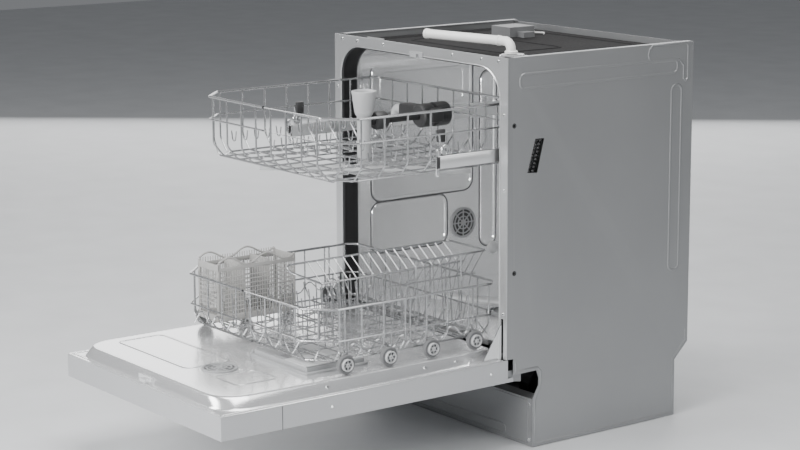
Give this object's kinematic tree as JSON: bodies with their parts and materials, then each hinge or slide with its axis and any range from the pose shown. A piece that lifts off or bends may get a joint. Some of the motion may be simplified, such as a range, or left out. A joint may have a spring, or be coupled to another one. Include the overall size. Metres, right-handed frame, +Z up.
{
  "type": "built-in dishwasher",
  "caption": "Built-in dishwasher with its door lying open, both wire racks drawn out on rails and wheels, open steel cabinet and stainless tub.",
  "frame": {"origin": "middle of the footprint with the door open, at floor level", "axes": "+X to the right as one faces the front, +Y to the back, +Z up"},
  "size_m": [0.598, 1.192, 0.841],
  "materials": {
    "stainless": "brushed",
    "galvanised": "satin",
    "door_paint": "matte",
    "white_plastic": "satin",
    "grey_plastic": "satin",
    "black_plastic": "satin",
    "rubber": "matte",
    "coated_wire": "satin",
    "iron": "rough"
  },
  "bodies": {
    "cabinet": {"front_frame": "stainless", "door_gasket": "rubber", "tub_wrap": "stainless", "tub_back": "stainless", "tub_floor": "stainless", "top_sheet": "black_plastic", "back_panel": "galvanised", "steam_duct": "white_plastic", "duct_foot_plate": "grey_plastic", "worktop_bracket": "stainless", "roof_valve_box": "grey_plastic", "latch_striker": "grey_plastic", "base_tray": "black_plastic", "plinth_plate": "galvanised", "counterweight": "iron", "circulation_pump": "black_plastic", "sump": "grey_plastic", "filter": "grey_plastic", "foot_rear": "black_plastic", "wall_vent": "grey_plastic", "side_panel_left": "galvanised", "foot_front_left": "black_plastic", "hinge_bracket_left": "stainless", "rail_fixed_left": "stainless", "side_panel_right": "galvanised", "foot_front_right": "black_plastic", "hinge_bracket_right": "stainless", "rail_fixed_right": "stainless"},
    "door": {"door_outer_panel": "door_paint", "control_panel": "door_paint", "door_liner": "stainless", "hinge_arm_left": "stainless", "hinge_arm_right": "stainless", "dispenser_body": "grey_plastic", "door_vent_cap": "grey_plastic", "door_latch": "stainless"},
    "dispenser_lid": {"dispenser_lid": "grey_plastic"},
    "rinse_cap": {"rinse_aid_cap": "grey_plastic"},
    "lower_rack": {"lower_rack": "coated_wire", "cup_shelf": "coated_wire"},
    "basket": {"cutlery_basket": "grey_plastic"},
    "upper_rack": {"upper_rack": "coated_wire", "upper_feed_pipe": "black_plastic", "spray_tower": "grey_plastic"},
    "upper_arm": {"upper_spray_arm": "grey_plastic"},
    "lower_arm": {"lower_spray_arm": "grey_plastic"},
    "rail_left": {"rail_slide_left": "stainless"},
    "rail_right": {"rail_slide_right": "stainless"},
    "wheel_front_left": {"lower_wheel_front_left": "grey_plastic"},
    "wheel_mid_front_left": {"lower_wheel_mid_front_left": "grey_plastic"},
    "wheel_mid_back_left": {"lower_wheel_mid_back_left": "grey_plastic"},
    "wheel_back_left": {"lower_wheel_back_left": "grey_plastic"},
    "roller_front_left": {"upper_roller_front_left": "black_plastic"},
    "roller_back_left": {"upper_roller_back_left": "black_plastic"},
    "wheel_front_right": {"lower_wheel_front_right": "grey_plastic"},
    "wheel_mid_front_right": {"lower_wheel_mid_front_right": "grey_plastic"},
    "wheel_mid_back_right": {"lower_wheel_mid_back_right": "grey_plastic"},
    "wheel_back_right": {"lower_wheel_back_right": "grey_plastic"},
    "roller_front_right": {"upper_roller_front_right": "black_plastic"},
    "roller_back_right": {"upper_roller_back_right": "black_plastic"}
  },
  "joints": [
    {"name": "door_hinge", "type": "hinge", "parent": "cabinet", "child": "door", "pos_m": [0, 0.05155, 0.16445], "axis": [-1, 0, 0], "range_deg": [0, 20]},
    {"name": "lower_rack_slide", "type": "slide", "parent": "door", "child": "lower_rack", "axis": [0, -1, 0], "range_m": [-0.465, 0]},
    {"name": "upper_rack_slide", "type": "slide", "parent": "cabinet", "child": "upper_rack", "axis": [0, -1, 0], "range_m": [-0.41, 0]},
    {"name": "upper_arm_spin", "type": "hinge", "parent": "upper_rack", "child": "upper_arm", "pos_m": [0, -0.0515, 0.57], "axis": [0, 0, 1], "continuous": true},
    {"name": "lower_arm_spin", "type": "hinge", "parent": "cabinet", "child": "lower_arm", "pos_m": [0, 0.351, 0.22], "axis": [0, 0, 1], "continuous": true},
    {"name": "dispenser_lid_slide", "type": "slide", "parent": "door", "child": "dispenser_lid", "axis": [0, 1, 0], "range_m": [0, 0.048]},
    {"name": "rinse_cap_turn", "type": "hinge", "parent": "door", "child": "rinse_cap", "pos_m": [0.078, -0.29, 0.23], "axis": [0, 0, 1], "range_deg": [0, 90]},
    {"name": "basket_lift", "type": "slide", "parent": "lower_rack", "child": "basket", "axis": [0, 0, -1], "range_m": [-0.12, 0]},
    {"name": "rail_slide_left", "type": "slide", "parent": "cabinet", "child": "rail_left", "axis": [0, -1, 0], "range_m": [-0.205, 0]},
    {"name": "wheel_front_left_spin", "type": "hinge", "parent": "lower_rack", "child": "wheel_front_left", "pos_m": [-0.2624, -0.286, 0.241], "axis": [1, 0, 0], "continuous": true},
    {"name": "wheel_mid_front_left_spin", "type": "hinge", "parent": "lower_rack", "child": "wheel_mid_front_left", "pos_m": [-0.2624, -0.182, 0.241], "axis": [1, 0, 0], "continuous": true},
    {"name": "wheel_mid_back_left_spin", "type": "hinge", "parent": "lower_rack", "child": "wheel_mid_back_left", "pos_m": [-0.2624, -0.076, 0.241], "axis": [1, 0, 0], "continuous": true},
    {"name": "wheel_back_left_spin", "type": "hinge", "parent": "lower_rack", "child": "wheel_back_left", "pos_m": [-0.2624, 0.034, 0.241], "axis": [1, 0, 0], "continuous": true},
    {"name": "roller_front_left_spin", "type": "hinge", "parent": "upper_rack", "child": "roller_front_left", "pos_m": [-0.2619, -0.043, 0.6405], "axis": [1, 0, 0], "continuous": true},
    {"name": "roller_back_left_spin", "type": "hinge", "parent": "upper_rack", "child": "roller_back_left", "pos_m": [-0.2619, 0.146, 0.6405], "axis": [1, 0, 0], "continuous": true},
    {"name": "rail_slide_right", "type": "slide", "parent": "cabinet", "child": "rail_right", "axis": [0, -1, 0], "range_m": [-0.205, 0]},
    {"name": "wheel_front_right_spin", "type": "hinge", "parent": "lower_rack", "child": "wheel_front_right", "pos_m": [0.2624, -0.286, 0.241], "axis": [1, 0, 0], "continuous": true},
    {"name": "wheel_mid_front_right_spin", "type": "hinge", "parent": "lower_rack", "child": "wheel_mid_front_right", "pos_m": [0.2624, -0.182, 0.241], "axis": [1, 0, 0], "continuous": true},
    {"name": "wheel_mid_back_right_spin", "type": "hinge", "parent": "lower_rack", "child": "wheel_mid_back_right", "pos_m": [0.2624, -0.076, 0.241], "axis": [1, 0, 0], "continuous": true},
    {"name": "wheel_back_right_spin", "type": "hinge", "parent": "lower_rack", "child": "wheel_back_right", "pos_m": [0.2624, 0.034, 0.241], "axis": [1, 0, 0], "continuous": true},
    {"name": "roller_front_right_spin", "type": "hinge", "parent": "upper_rack", "child": "roller_front_right", "pos_m": [0.2619, -0.043, 0.6405], "axis": [1, 0, 0], "continuous": true},
    {"name": "roller_back_right_spin", "type": "hinge", "parent": "upper_rack", "child": "roller_back_right", "pos_m": [0.2619, 0.146, 0.6405], "axis": [1, 0, 0], "continuous": true}
  ],
  "couplings": [
    {"joint": "rail_slide_left", "follows": "upper_rack_slide", "ratio": 0.5},
    {"joint": "wheel_front_left_spin", "follows": "lower_rack_slide", "rad_per_m": 51.282},
    {"joint": "wheel_mid_front_left_spin", "follows": "lower_rack_slide", "rad_per_m": 51.282},
    {"joint": "wheel_mid_back_left_spin", "follows": "lower_rack_slide", "rad_per_m": 51.282},
    {"joint": "wheel_back_left_spin", "follows": "lower_rack_slide", "rad_per_m": 51.282},
    {"joint": "roller_front_left_spin", "follows": "upper_rack_slide", "rad_per_m": 45.455},
    {"joint": "roller_back_left_spin", "follows": "upper_rack_slide", "rad_per_m": 45.455},
    {"joint": "rail_slide_right", "follows": "upper_rack_slide", "ratio": 0.5},
    {"joint": "wheel_front_right_spin", "follows": "lower_rack_slide", "rad_per_m": 51.282},
    {"joint": "wheel_mid_front_right_spin", "follows": "lower_rack_slide", "rad_per_m": 51.282},
    {"joint": "wheel_mid_back_right_spin", "follows": "lower_rack_slide", "rad_per_m": 51.282},
    {"joint": "wheel_back_right_spin", "follows": "lower_rack_slide", "rad_per_m": 51.282},
    {"joint": "roller_front_right_spin", "follows": "upper_rack_slide", "rad_per_m": 45.455},
    {"joint": "roller_back_right_spin", "follows": "upper_rack_slide", "rad_per_m": 45.455}
  ]
}
